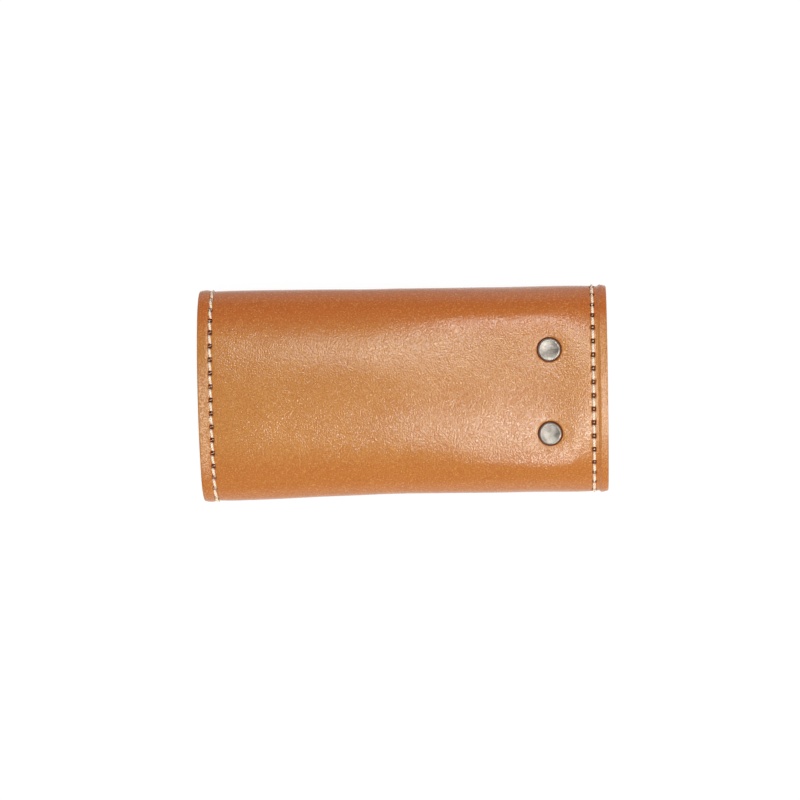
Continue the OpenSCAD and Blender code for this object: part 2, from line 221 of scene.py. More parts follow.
def section(girth):                              # y, z and the outward direction round the case
    upper = walk(upperRuns, np.maximum(girth, 0))
    lower = walk(lowerRuns, np.maximum(-girth, 0))
    side = np.where(girth < 0, -1, 1)
    across, down, heading = (np.where(girth < 0, b, a) for a, b in zip(upper, lower))
    return side * across, case["top"] - down, side * np.sin(heading), np.cos(heading)


# How the leather swells, sinks and creases

shape = {
    "crownRise": 1.3,                            # how far the back swells above the key plate's level
    "crownPower": 2.25,                          # roundness of the swollen section
    "plateRise": 0.8,                            # how far it stands out over the key plate
    "plateTilt": 0.11,                           # slope of the leather where the folds begin there
    "crownFrom": -11,                            # the swelling fades from here to the key plate
    "crownTo": 29,
    "crownLate": 11,                             # this much further right on the lower side
    "lateBand": 12,                              # half the band in which the lower side begins
    "endFrom": 38,                               # the swelling comes back past the plate
    "endTo": 52,
    "endShare": 0.95,
    "spread": 0.2,                               # the folds stand out a little all along
    "foldMiddle": 14,                            # most of all this far round from the flat part
    "foldBand": 11,
    "flareUpper": 0.35,                          # and more towards the left end
    "flareLower": 1.3,
    "lipLeft": 0.4,                              # the stitched edges stand out from the folds
    "lipRight": 0.1,
    "lipBand": (1.6, 3.8),                       # distances from the edge between which that fades
    "waves": (0.05, 0.035),                      # heights of the broad and the small unevenness
    "calm": 6,                                   # the unevenness begins over this distance from an end
    "dishDepth": 0.34,                           # leather drawn down round each rivet
    "dishRadius": 4.4,
    "seatDepth": 0.22,                           # and pressed in by its cap
    "seatBand": (-0.1, 0.55),                    # distances from the cap's edge
    "plateDip": 0.2,                             # leather sunk between the rivets
    "dipAlong": (8, 36),
    "dipAcross": (8, 19),
    "rimRadius": case["skin"] / 2,
    "rimSquare": 0.5,                            # 1 gives a round edge, less a squarer one
    "rimFade": 0.9,                              # the outer face's relief begins over this distance
    "stitchInset": 3.5,
    "grooveDepth": 0.16,
    "grooveWidth": 0.6,
    "grooveRight": 0.6,                          # share of the depth on the right
    "grooveInside": 0.1,
    "marginDepth": 0.12,                         # the stitched margin is pressed down by this
    "marginWidth": 3.2,                          # and rises again over this distance
    "liningGap": 0.05,                           # between the turned edge and the lining
    "liningRound": 0.15,                         # radius of the lining's edge
    # distances from the edge, and heights: the left rim slopes down to it, the right one has a crease
    "rimLeft": ((0.4, 2.8), (-0.2, 0)),
    "rimRight": ((0.4, 1.85, 2.2, 2.55, 2.9, 3.5), (-0.08, 0.16, -0.08, -0.3, -0.16, -0.04)),
}

rivet = {
    "x": (rivetLow.x + rivetHigh.x) / 2,
    "radius": (rivetHigh.x - rivetLow.x) / 2,
    "top": rivetHigh.z,
    "ring": (0.05, 0.42),                        # painted shadow line round the cap, in distances from the cap's edge
}
rivet["y"] = rivetHigh.y - rivet["radius"]
rivetPlaces = [(rivet["x"], side * rivet["y"]) for side in (-1, 1)]


def ease(value, low, high):                      # 0 below low, 1 above high, eased
    part = np.clip((value - low) / (high - low), 0, 1)
    return part * part * (3 - 2 * part)


def bell(value, width):
    return np.exp(-(value / width) ** 2)


def crownTable(points=400, furthest=3.0, halvings=40):
    # how far the swollen section stands off the plain one, found by halving
    girth = np.linspace(0, case["flatHalf"] + quarter * case["foldRadius"], points)
    y, z, ny, nz = section(girth)
    low, high = np.full_like(girth, -furthest), np.full_like(girth, furthest)
    power, middle = shape["crownPower"], case["foldRadius"]
    tall = case["top"] - middle + shape["crownRise"]
    for step in range(halvings):
        offset = (low + high) / 2
        reach = np.abs(y + offset * ny) / case["halfWidth"]
        lift = np.maximum(z + offset * nz - middle, 0) / tall
        outside = reach ** power + lift ** power > 1
        low, high = np.where(outside, low, offset), np.where(outside, offset, high)
    return girth, (low + high) / 2


crownGirth, crownOffset = crownTable()


def overPlate(reach):                            # arched between the folds, then back to the plain section
    flat, arc = case["flatHalf"], quarter * case["foldRadius"]
    rise, tilt = shape["plateRise"], shape["plateTilt"]
    t = np.clip((reach - flat) / arc, 0, 1)
    height = 2 * t ** 3 - 3 * t ** 2 + 1         # a cubic takes height and slope down to nothing
    slope = t ** 3 - 2 * t ** 2 + t
    beyond = (rise - tilt * flat / 2) * height - tilt * arc * slope
    return np.where(reach < flat, rise - tilt * reach ** 2 / (2 * flat), beyond)


def form(x, girth):                              # the slow shape that the whole skin follows
    reach = np.abs(girth)
    edge = case["halfLength"] - np.abs(x)
    swollen = np.interp(reach, crownGirth, crownOffset, right=0)
    held = overPlate(reach)
    along = x - shape["crownLate"] * ease(-girth, -shape["lateBand"], shape["lateBand"])
    swell = 1 - ease(along, shape["crownFrom"], shape["crownTo"])
    swell += shape["endShare"] * ease(x, shape["endFrom"], shape["endTo"])
    folds = bell(reach - case["flatHalf"] - shape["foldMiddle"], shape["foldBand"])
    flare = np.where(girth < 0, shape["flareLower"], shape["flareUpper"])
    spread = shape["spread"] + flare * ease(-x, 0, case["halfLength"])
    lip = np.where(x < 0, shape["lipLeft"], shape["lipRight"]) * (1 - ease(edge, *shape["lipBand"]))
    broad, small = shape["waves"]                # their lengths and phases don't fall together
    waves = broad * np.sin(x / 7.1 + girth / 9.3 + 1.2) * np.sin(girth / 6.2 - x / 15 + 0.4)
    waves += small * np.sin(x / 4.3 - girth / 5.9) * np.sin(x / 11 + 2.1)
    calm = ease(edge, 0, shape["calm"])
    return held + (swollen - held) * swell + (spread + lip) * folds + waves * calm


def relief(x, girth, inset):                     # what only the outer face shows
    height = np.where(x > 0, np.interp(inset, *shape["rimRight"]), np.interp(inset, *shape["rimLeft"]))
    line = shape["stitchInset"] + np.where(x > 0, stitch["shiftRight"], 0)
    groove = shape["grooveDepth"] * np.where(x > 0, shape["grooveRight"], 1)
    height -= groove * bell(inset - line, shape["grooveWidth"])
    height -= shape["marginDepth"] * bell(np.maximum(inset - shape["stitchInset"], 0), shape["marginWidth"])
    plate = ease(x, *shape["dipAlong"]) * (1 - ease(np.abs(girth), *shape["dipAcross"]))
    height -= shape["plateDip"] * plate
    seatFrom, seatTo = (rivet["radius"] + part for part in shape["seatBand"])
    for rx, ry in rivetPlaces:
        away = np.hypot(x - rx, girth - ry)
        height -= shape["dishDepth"] * bell(away, shape["dishRadius"])
        height -= shape["seatDepth"] * (1 - ease(away, seatFrom, seatTo))
    return height


# The line of stitches, once round the edge of the opened skin

stitch = {
    "pitch": 3.55,
    "thread": 0.68,                              # thickness of the thread
    "lift": 0.1,                                 # height of its middle above the groove
    "shiftRight": 0.28,                          # the right line lies this much further from its edge
    "phaseLeft": -0.8,
    "phaseRight": 2.4,
    "slantLeft": 0.24,                           # how far an end of a stitch lies beside the line
    "slantRight": 0.05,
    "holeAlong": 0.64,
    "holeAcross": 0.5,
    "holeDepth": 1.1,
    "holeReach": 1.6,                            # further off a hole has no effect
    "holeShadeStrength": 0.75,                               # strength of the painted shade in the holes
    "holeShadeSpread": 1.12,
    "sinkFrom": 0.56,                            # shares of half a stitch between which the thread goes down
    "sinkTo": 0.76,
    "sinkDepth": 1.4,
    "riseFrom": 0.82,                            # the two threads' crossing in the hole comes up again
    "rise": 1.2,
    "crossing": 0.4,                             # and is thinner by this share
    "crossingBand": (0.5, 0.85),
    "uneven": 0.05,                              # the thickness varies by this share
    "lobe": 0.1,                                 # the section is this far from round, and turns
    "lobeTurn": 1.6,                             # by this many half turns in a stitch
    "sides": 8,
    "stations": (0, 0.03, 0.07, 0.12, 0.17, 0.22, 0.35, 0.5, 0.65, 0.78, 0.83, 0.88, 0.93, 0.97, 1),
}


def stitchPath(cornerPoints=13):                 # points along the closed line, and the length at each
    inset, corner = shape["stitchInset"], case["cornerRadius"]
    turn = corner - inset
    right = case["halfLength"] - corner
    upper, lower = upperEnd - corner, lowerEnd + corner
    centres = ((-right, upper, 180), (right, upper, 90), (right, lower, 0), (-right, lower, -90))
    points = []
    for x, girth, start in centres:
        for angle in np.radians(np.linspace(start, start - 90, cornerPoints)):
            points.append((x + turn * math.cos(angle), girth + turn * math.sin(angle)))
    points.append(points[0])
    points = np.array(points)
    points[:, 0] -= stitch["shiftRight"] * ease(points[:, 0], 0, right)
    lengths = np.concatenate([[0], np.cumsum(np.hypot(*np.diff(points, axis=0).T))])
    return points, lengths


pathPoints, pathLengths = stitchPath()


def onPath(length):                              # place at a length along the line
    length = np.mod(length, pathLengths[-1])
    return np.stack([np.interp(length, pathLengths, pathPoints[:, axis]) for axis in (0, 1)], -1)


def pathAt(length, ahead=0.05):                  # place and direction at a length along the line
    place = onPath(length)
    along = onPath(np.mod(length, pathLengths[-1]) + ahead) - place
    return place, along / np.linalg.norm(along, axis=-1, keepdims=True)


def stitchHoles():                               # lengths along the line at which the needle went in
    corner = case["cornerRadius"]
    arc = quarter * (corner - shape["stitchInset"])
    across = 2 * (case["halfLength"] - corner) - stitch["shiftRight"]
    girthLow, girthHigh = lowerEnd + corner, upperEnd - corner
    rightStart = arc + across + arc              # the right side runs down from here, the left side up
    leftStart = rightStart + (girthHigh - girthLow) + rightStart
    pitch = stitch["pitch"]

    def sideHoles(phase):
        first = math.ceil((girthLow - phase) / pitch)
        last = math.floor((girthHigh - phase) / pitch)
        return phase + pitch * np.arange(first, last + 1)

    right = np.sort(rightStart + girthHigh - sideHoles(stitch["phaseRight"]))
    left = np.sort(leftStart + sideHoles(stitch["phaseLeft"]) - girthLow)
    total = pathLengths[-1]

    def fill(start, end):
        count = round((end - start) / pitch)
        return np.linspace(start, end, count + 1)[1:-1]

    return np.concatenate([right, fill(right[-1], left[0]), left, fill(left[-1], right[0] + total)])


holeLengths = stitchHoles()
holePlaces, holeDirections = pathAt(holeLengths)


def holeMask(x, girth, wide):                    # 1 in a needle hole, 0 away from it
    mask = np.zeros_like(x)
    long, broad = stitch["holeAlong"] * wide, stitch["holeAcross"] * wide
    for (hx, hs), (ax, ay) in zip(holePlaces, holeDirections):
        near = (np.abs(x - hx) < stitch["holeReach"]) & (np.abs(girth - hs) < stitch["holeReach"])
        dx, dy = x[near] - hx, girth[near] - hs
        along, across = dx * ax + dy * ay, dx * ay - dy * ax
        reach = (along / long) ** 4 + (across / broad) ** 4      # the fourth power gives a squarish hole
        mask[near] = np.maximum(mask[near], np.exp(-reach))
    return mask


# The skin as a surface: two numbers give any point, past the edge they run on to the other face

def leatherProfile(p):                           # distance from the edge, and depth, along the section
    radius = shape["rimRadius"]
    angle = np.clip(p / radius, -1, 1) * quarter
    out = np.maximum(np.cos(angle), 0) ** shape["rimSquare"]
    up = np.sign(angle) * np.abs(np.sin(angle)) ** shape["rimSquare"]
    inset = np.where(p > radius, p, radius * (1 - out))
    depth = radius * (1 - up) - np.maximum(-radius - p, 0)
    return inset, depth


def liningProfile(p):                            # the same for the lining, behind the turned edge
    radius = shape["liningRound"]
    edge = shape["rimRadius"] + shape["liningGap"]
    angle = np.clip((p - edge) / radius, 0, 1) * quarter
    inset = np.where(p > edge + radius, p, edge + radius * (1 - np.cos(angle)))
    depth = case["skin"] - radius * (1 - np.sin(angle)) - np.maximum(edge - p, 0)
    return inset, depth


# how far past the edge each of them runs on, to where the other hides it
leatherHidden = -shape["rimRadius"] - case["lining"]
liningHidden = shape["rimRadius"] + shape["liningGap"] - case["lining"] + shape["liningRound"]


def skinPlace(column, row, profile, outer):
    # column and row count millimetres along x and round the case, and run on past the edges
    corner = case["cornerRadius"]
    fromSide = case["halfLength"] - np.abs(column)
    fromEnd = np.minimum(upperEnd - row, row - lowerEnd)
    nearest, other = np.minimum(fromSide, fromEnd), np.maximum(fromSide, fromEnd)
    inset, depth = profile(nearest)
    sideX = np.where(column < 0, -1, 1)
    endS = np.where(row < 0, -1, 1)
    edgeS = np.where(row < 0, lowerEnd, upperEnd)
    bySide = fromSide <= fromEnd
    x = np.where(bySide, sideX * (case["halfLength"] - inset), column)
    girth = np.where(bySide, row, edgeS - endS * inset)
    turning = other < corner                     # rings turn the corner round one centre
    share = np.clip((other - nearest) / np.maximum(corner - nearest, tiny), 0, 1)
    angle = quarter / 2 * (1 - share)
    ring = corner - inset
    toSide = np.where(bySide, np.cos(angle), np.sin(angle))
    toEnd = np.where(bySide, np.sin(angle), np.cos(angle))
    x = np.where(turning, sideX * (case["halfLength"] - corner + ring * toSide), x)
    girth = np.where(turning, edgeS - endS * (corner - ring * toEnd), girth)
    height = form(x, girth) - depth
    if outer:
        height += relief(x, girth, inset) * ease(nearest, 0, shape["rimFade"])
        height -= stitch["holeDepth"] * holeMask(x, girth, 1)
    else:
        height += shape["grooveInside"] * bell(inset - shape["stitchInset"], shape["grooveWidth"])
    return x, girth, height


def toSpace(x, girth, height):                   # a place on the sheet as a point of the closed case
    y, z, ny, nz = section(girth)
    return np.stack([x, y + height * ny, np.maximum(z + height * nz, case["tableGap"])], -1)


def skinSpace(column, row, profile, outer):
    return toSpace(*skinPlace(column, row, profile, outer))


# Building a length of the skin

net = {
    "leather": (0.22, 0.8, 0.3),                 # spacing at the edges, along the case and round it
    "lining": (0.4, 1.3, 0.6),
    "bandFrom": 2.7,                             # the stitched band is the finest
    "bandTo": 4.3,
    "rivetBand": 5.6,                            # and round the rivets the spacing is finer by a share
    "rivetShare": 0.45,
    "tip": 0.02,                                 # step that gives a point's normal
}


def spaced(low, high, step):
    count = max(1, round(abs(high - low) / step))
    return list(np.linspace(low, high, count + 1))


def edgeSteps(hidden, fine):                     # steps from the hidden side, over the edge, to the corner
    radius, lip = shape["rimRadius"], shape["liningRound"]
    steps = [hidden]
    if hidden < 0:
        steps += spaced(-radius, 0, radius / 4) + spaced(0, radius, radius / 7)[1:]
    else:
        edge = radius + shape["liningGap"]
        steps += spaced(edge, edge + lip, lip / 3)
    steps += spaced(steps[-1], net["bandFrom"], fine * 1.15)[1:]
    steps += spaced(net["bandFrom"], net["bandTo"], fine * 0.9)[1:]
    steps += spaced(net["bandTo"], case["cornerRadius"], fine * 2)[1:]
    return steps


def columnSteps(hidden, fine, coarse):
    edge = case["halfLength"]
    rim = [-edge + step for step in edgeSteps(hidden, fine)][:-1]
    inner = edge - case["cornerRadius"]
    rivetFrom, rivetTo = rivet["x"] - net["rivetBand"], rivet["x"] + net["rivetBand"]
    middle = spaced(-inner, rivetFrom, coarse)
    middle += spaced(rivetFrom, rivetTo, coarse * net["rivetShare"])[1:]
    middle += spaced(rivetTo, inner, coarse)[1:]
    return np.array(rim + middle + [-step for step in reversed(rim)])


def rowSteps(low, high, hidden, fine, step):
    corner = case["cornerRadius"]
    rim = edgeSteps(hidden, fine)[:-1]
    if low <= lowerEnd:
        return np.array([lowerEnd + part for part in rim] + spaced(lowerEnd + corner, high, step))
    if high >= upperEnd:
        return np.array(spaced(low, upperEnd - corner, step) + [upperEnd - part for part in reversed(rim)])
    return np.array(spaced(low, high, step))


def skinPiece(name, low, high, outer, finish):
    profile, hidden = (leatherProfile, leatherHidden) if outer else (liningProfile, liningHidden)
    fine, coarse, step = net["leather"] if outer else net["lining"]
    columns = columnSteps(hidden, fine, coarse)
    rows = rowSteps(low, high, hidden, fine, step)
    wide, tall = len(columns), len(rows)
    bpy.ops.object.select_all(action="DESELECT")
    bpy.ops.mesh.primitive_grid_add(x_subdivisions=wide - 1, y_subdivisions=tall - 1, size=1)
    piece = bpy.context.object
    piece.name = piece.data.name = name
    column, row = np.meshgrid(columns, rows)     # the grid's points run along x first
    x, girth, height = skinPlace(column, row, profile, outer)
    mesh = piece.data
    mesh.vertices.foreach_set("co", (toSpace(x, girth, height) * mm).ravel())
    closeBack(mesh, wide, tall, outer)
    place = np.stack([x, girth, height], -1)
    mesh.attributes.new("sheet", "FLOAT_VECTOR", "POINT").data.foreach_set("vector", place.ravel())
    # painted shade in the needle holes, and below, painted shadow round the caps
    dark = stitch["holeShadeStrength"] * holeMask(x, girth, stitch["holeShadeSpread"])
    if outer:
        # painted shadow in the gap round each rivet's cap
        capShadowFrom, capShadowTo = (rivet["radius"] + part for part in rivet["ring"])
        for rx, ry in rivetPlaces:
            away = np.hypot(x - rx, girth - ry)
            dark = np.maximum(dark, 1 - ease(away, capShadowFrom, capShadowTo))
    mesh.attributes.new("dark", "FLOAT", "POINT").data.foreach_set("value", dark.ravel())
    mesh.shade_smooth()
    normals = skinNormals(column, row, profile, outer)
    mesh.normals_split_custom_set_from_vertices([tuple(n) for n in normals.reshape(-1, 3)])
    mesh.materials.append(finish)
    return piece


def skinNormals(column, row, profile, outer):
    tip = net["tip"]
    alongX = skinSpace(column + tip, row, profile, outer) - skinSpace(column - tip, row, profile, outer)
    alongS = skinSpace(column, row + tip, profile, outer) - skinSpace(column, row - tip, profile, outer)
    normals = np.cross(alongX, alongS)
    normals /= np.maximum(np.linalg.norm(normals, axis=-1, keepdims=True), tiny)
    return normals if outer else -normals


def closeBack(mesh, wide, tall, outer):
    # long faces close the hidden side, and one face closes each end
    grid = np.arange(wide * tall).reshape(tall, wide)
    faces = [(a, b, c, d) for j in range(tall - 1) for a, b, c, d in zip(
        grid[j, :-1], grid[j, 1:], grid[j + 1, 1:], grid[j + 1, :-1])]
    faces += [(grid[j, 0], grid[j + 1, 0], grid[j + 1, -1], grid[j, -1]) for j in range(tall - 1)]
    faces.append(tuple(grid[0, ::-1]))
    faces.append(tuple(grid[-1]))
    if not outer:
        faces = [face[::-1] for face in faces]
    points = np.empty(len(mesh.vertices) * 3)
    mesh.vertices.foreach_get("co", points)
    mesh.clear_geometry()
    mesh.from_pydata(points.reshape(-1, 3).tolist(), [], [tuple(int(i) for i in face) for face in faces])
    mesh.validate()


# Finishes

tan = {
    "body": (tint(192, 126, 60), tint(186, 118, 53)),        # two tans that drift into each other
    "mottled": tint(200, 138, 74),
    "lowerFoldTanAndShade": tint(186, 106, 38),                         # deeper tans down the folds, partly painted shade, darker on the upper one
    "upperFoldTanAndShade": tint(187, 90, 25),
    "shade": tint(170, 96, 42),
    "poreLight": tint(232, 176, 108),
    "poreDark": tint(160, 84, 34),
    "paintedRimHighlight": tint(238, 196, 160),                             # painted highlight on the rims' crests, speckled by the pores
    # painted shade in the needle holes, and on the outer part of the painted shadow round the caps
    "hole": tint(120, 34, 2),
    "ring": tint(84, 36, 14),                                # painted shadow in the gap round each cap
    "paintedHighlightLeft": ((51.0, 51.8), (53.3, 53.9)),                # distances from the middle
    "paintedHighlightRight": ((52.0, 52.5), (53.5, 53.9)),
    "pebbleDepth": 0.036,
    "poreDepth": 0.008,
    "polish": 0.09,
}


def leatherFinish():
    f = Finish("tan_leather")
    place = f.attribute("sheet", 1)              # millimetres along the case, round it and outwards
    dark = f.attribute("dark", 2)
    x = f.node("ShaderNodeSeparateXYZ", None, {0: place})
    girth = f.node("ShaderNodeSeparateXYZ", None, {0: place}, 1)
    left, lower = x * -1.0, girth * -1.0
    cloud = f.noise(place, 0.045, 3, 0.55)
    mottle = f.noise(place, 0.4, 3, 0.6)
    warp = f.node("ShaderNodeTexNoise", None, {"Vector": place, "Scale": 0.9, "Detail": 2}, 1)
    warp = f.node("ShaderNodeVectorMath", {"operation": "SCALE"}, {0: warp, "Scale": 0.5})
    warped = f.node("ShaderNodeVectorMath", {"operation": "ADD"}, {0: place, 1: warp})
    cells = f.node("ShaderNodeTexVoronoi", {"feature": "SMOOTH_F1"}, {
        "Vector": warped, "Scale": 2.6, "Smoothness": 0.3, "Randomness": 1})
    fine = f.noise(warped, 3.6, 3, 0.6)
    pores = f.noise(place, 2.5, 2, 0.6)
    pebble = cells * -1.0 + f.noise(warped, 3.0, 0) * 0.8

    def band(value, inner, outer):               # 1 between two eased limits
        return value.between(*inner) * (1 - value.between(*outer))

    base = f.mix(cloud.between(0.3, 0.7), *tan["body"])
    base = f.mix(mottle.between(0.35, 0.75) * 0.35, base, tan["mottled"])
    # deeper tan down both folds, partly the leather's own tone and partly painted shade; the upper fold is
    # painted darker
    base = f.mix(lower.between(12, 21) * 0.75, base, tan["lowerFoldTanAndShade"])
    base = f.mix(girth.between(12, 24) * 0.85, base, tan["upperFoldTanAndShade"])
    base = f.mix(fine.between(0.42, 0.66) * 0.3, base, tan["shade"])
    base = f.mix(pores.between(0.52, 0.7) * 0.36, base, tan["poreLight"])
    base = f.mix(pores.between(0.5, 0.32) * 0.45, base, tan["poreDark"])
    # painted highlight along the crests of the end rims, lower down on the left, fainter on the right,
    # speckled by the pores
    paintedHighlightLeft = band(left, *tan["paintedHighlightLeft"]) * (1 - girth.between(2, 12))
    paintedHighlightRight = band(x, *tan["paintedHighlightRight"]) * (1 - girth.between(14, 22)) * 0.4
    paintedRimHighlight = (paintedHighlightLeft + paintedHighlightRight) * (1 - lower.between(16, 25))
    base = f.mix(paintedRimHighlight * (0.12 + pores.between(0.42, 0.62) * 0.5), base, tan["paintedRimHighlight"])
    # painted shade in the needle holes and at the outer part of the painted shadow round the caps
    base = f.mix(dark.between(0.25, 0.5), base, tan["hole"])
    # painted shadow in the gap round each cap
    base = f.mix(dark.between(0.78, 0.95), base, tan["ring"])
    grain = f.bump(pebble, tan["pebbleDepth"] * mm)
    grain = f.bump(pores, tan["poreDepth"] * mm, grain)
    rough = tan["polish"] + mottle * 0.06 + dark * 0.4
    return f.surface({"Base Color": base, "Roughness": rough, "Normal": grain, "IOR": 1.5,
                      "Specular IOR Level": 0.6})


inside = {
    "body": (tint(190, 143, 103), tint(178, 130, 90)),
    "nap": tint(158, 110, 74),
    # painted shade at the needle holes in the lining
    "hole": tint(60, 34, 20),
    "napDepth": 0.02,
    "rough": 0.78,
}


def liningFinish():
    f = Finish("lining_leather")
    place = f.attribute("sheet", 1)
    dark = f.attribute("dark", 2)
    mottle = f.noise(place, 0.3, 4, 0.6)
    nap = f.noise(place, 5, 3, 0.65)
    base = f.mix(mottle.between(0.3, 0.7), *inside["body"])
    base = f.mix(nap.between(0.4, 0.7) * 0.4, base, inside["nap"])
    # painted shade at the needle holes in the lining
    base = f.mix(dark.between(0.3, 0.62), base, inside["hole"])
    napped = f.bump(nap, inside["napDepth"] * mm)
    return f.surface({"Base Color": base, "Roughness": inside["rough"], "Normal": napped})


ivory = {
    "strands": (tint(228, 194, 160), tint(255, 241, 222)),   # painted shade in the twist's grooves, and the thread's own colour on its strands
    "fuzz": tint(242, 214, 182),
    "sunk": tint(104, 24, 0),                                # painted shade where a stitch goes down into its hole
    "crossing": tint(255, 232, 204),                         # and the thread's own colour where two ends cross in it
    "turns": 5.5,                                            # of the twist, in one stitch
    "twistDepth": 0.06,
    "rough": 0.7,
}


def threadFinish():
    f = Finish("thread")
    lay = f.attribute("lay", 1)                  # share of a stitch's length, and of a turn round it
    along = f.node("ShaderNodeSeparateXYZ", None, {0: lay})
    around = f.node("ShaderNodeSeparateXYZ", None, {0: lay}, 1)
    twist = (along * ivory["turns"] + around * 2) * (2 * math.pi)
    strands = f.node("ShaderNodeMath", {"operation": "SINE"}, {0: twist}) * 0.5 + 0.5
    fuzz = f.noise(f.node("ShaderNodeTexCoord", None, None, 3), 5200, 3, 0.6)
    swing = f.node("ShaderNodeMath", {"operation": "ABSOLUTE"}, {0: along * 2 - 1})
    # painted shade in the grooves between the twisted strands
    base = f.mix(strands.between(0, 0.55), *ivory["strands"])
    base = f.mix(fuzz.between(0.35, 0.7) * 0.3, base, ivory["fuzz"])
    # painted shade on the thread where it goes down into its hole
    base = f.mix(swing.between(0.6, 0.7) * 0.97, base, ivory["sunk"])
    base = f.mix(swing.between(0.84, 0.91), base, ivory["crossing"])
    twisted = f.bump(strands + fuzz * 0.5, ivory["twistDepth"] * mm)
    return f.surface({"Base Color": base, "Roughness": ivory["rough"], "Normal": twisted,
                      "Specular IOR Level": 0.25})


def metalFinish(name, low, high, roughness):     # cloudy plating with darker specks
    f = Finish(name)
    place = f.node("ShaderNodeTexCoord", None, None, 3)
    cloud = f.noise(place, 420, 4, 0.6, 0.6)
    speck = f.noise(place, 1900, 3, 0.7)
    base = f.mix(cloud.between(0.36, 0.64), low, high)
    base = f.mix(speck.between(0.6, 0.72) * 0.5, base, tint(96, 88, 78))
    rough = roughness + speck * 0.14
    return f.surface({"Base Color": base, "Metallic": 1.0, "Roughness": rough,
                      "Normal": f.bump(speck, 0.012 * mm)})


leather = leatherFinish()
lining = liningFinish()
thread = threadFinish()
nickel = metalFinish("antique_nickel", tint(117, 108, 101), tint(156, 146, 137), 0.3)
steel = metalFinish("bright_nickel", tint(176, 172, 165), tint(206, 202, 196), 0.22)
print("finishes made")


# The lengths of skin, each across one bend, so that the seams between them lie where nothing bends

def seam(side, angle):                           # distance round the case at an angle of a fold
    outer, inner = case["foldRadius"], case["innerRadius"]
    turned = math.radians(abs(angle - 90))
    if side > 0 and turned > quarter:
        return case["flatHalf"] + quarter * outer + (turned - quarter) * inner
    return side * (case["flatHalf"] + turned * outer)


folds = {                                        # side of the case, radius and middle of each
    "lower": (-1, case["foldRadius"], -case["flatHalf"]),
    "upper": (1, case["foldRadius"], case["flatHalf"]),
    "inner": (1, case["innerRadius"], case["halfWidth"] - case["innerRadius"]),
}


def bendSpan(fold, angle, before, after):
    # start and end of a bend that turns about the fold's line at this angle, along the chord
    side, radius, middle = folds[fold]
    turn = math.radians(angle)
    line = Vector((0, middle + radius * math.cos(turn), case["foldRadius"] + radius * math.sin(turn)))
    chord = Vector((0, side * math.sin(turn), -side * math.cos(turn)))
    return (line - chord * before) * mm, (line + chord * after) * mm


bend = {
    "halfAngle": math.radians(30),               # half the angle between two hinge lines
    "outerSlack": 0.2,                           # between one bend and the next, on either side
    "innerSlack": 0.05,
    "flatReach": 3.0,                            # how far the last bend runs into the inner flap
}
# a bend takes half of the lining's chord to the next hinge line, less the slack
outerHold = (case["foldRadius"] - case["skin"]) * math.sin(bend["halfAngle"]) - bend["outerSlack"]
innerHold = (case["innerRadius"] - case["skin"]) * math.sin(bend["halfAngle"]) - bend["innerSlack"]

skinLengths = [
    # name, ends round the case, the two bodies, the bend's span, and the CAD lengths it stands for
    ("outer_flap", lowerEnd, seam(-1, 210), "lower_fold_b", "outer_flap",
     bendSpan("lower", 240, outerHold, outerHold), ["lower_fold_b", "outer_flap"]),
    ("lower_fold", seam(-1, 210), seam(-1, 150), "lower_fold_a", "lower_fold_b",
     bendSpan("lower", 180, outerHold, outerHold), ["lower_fold_a"]),
    ("back", seam(-1, 150), seam(1, 90), "back", "lower_fold_a",
     bendSpan("lower", 120, outerHold, outerHold), ["back"]),
    ("upper_shoulder", seam(1, 90), seam(1, 30), "back", "upper_fold_a",
     bendSpan("upper", 60, outerHold, outerHold), ["upper_fold_a"]),
    ("upper_fold", seam(1, 30), seam(1, -30), "upper_fold_a", "upper_fold_b",
     bendSpan("upper", 0, outerHold, innerHold), ["upper_fold_b"]),
    ("inner_flap", seam(1, -30), upperEnd, "upper_fold_b", "inner_flap",
     bendSpan("inner", -60, innerHold, bend["flatReach"]), ["inner_flap"]),
]


def threadRing(t, start, end, middle, angles, outer):
    # points round the thread at a share of the stitch between two holes
    mx, ms = middle
    swing = 2 * t - 1
    uneven = stitch["uneven"] * math.sin(9 * mx + 5 * ms + 7 * t)        # no two stitches alike
    thick = stitch["thread"] / 2 * (1 + uneven)
    thick *= 1 - stitch["crossing"] * ease(abs(swing), *stitch["crossingBand"])
    thick = thick * (1 + stitch["lobe"] * np.cos(2 * (angles - math.pi * stitch["lobeTurn"] * t)))
    place, along = pathAt(np.array(start + t * (end - start)))
    slant = stitch["slantLeft"] if mx < 0 else stitch["slantRight"]
    across = slant * swing * (-1 if outer else 1) + thick * np.cos(angles)
    x = place[0] + across * along[1]
    girth = place[1] - across * along[0]
    lift = stitch["lift"] - stitch["sinkDepth"] * ease(abs(swing), stitch["sinkFrom"], stitch["sinkTo"])
    lift += stitch["rise"] * ease(abs(swing), stitch["riseFrom"], 1)
    lift = lift + thick * np.sin(angles)
    if not outer:
        return toSpace(x, girth, form(x, girth) - case["skin"] - lift)
    inset = shape["stitchInset"] + (stitch["shiftRight"] if mx > 0 else 0)
    return toSpace(x, girth, form(x, girth) + relief(x, girth, np.full_like(x, inset)) + lift)


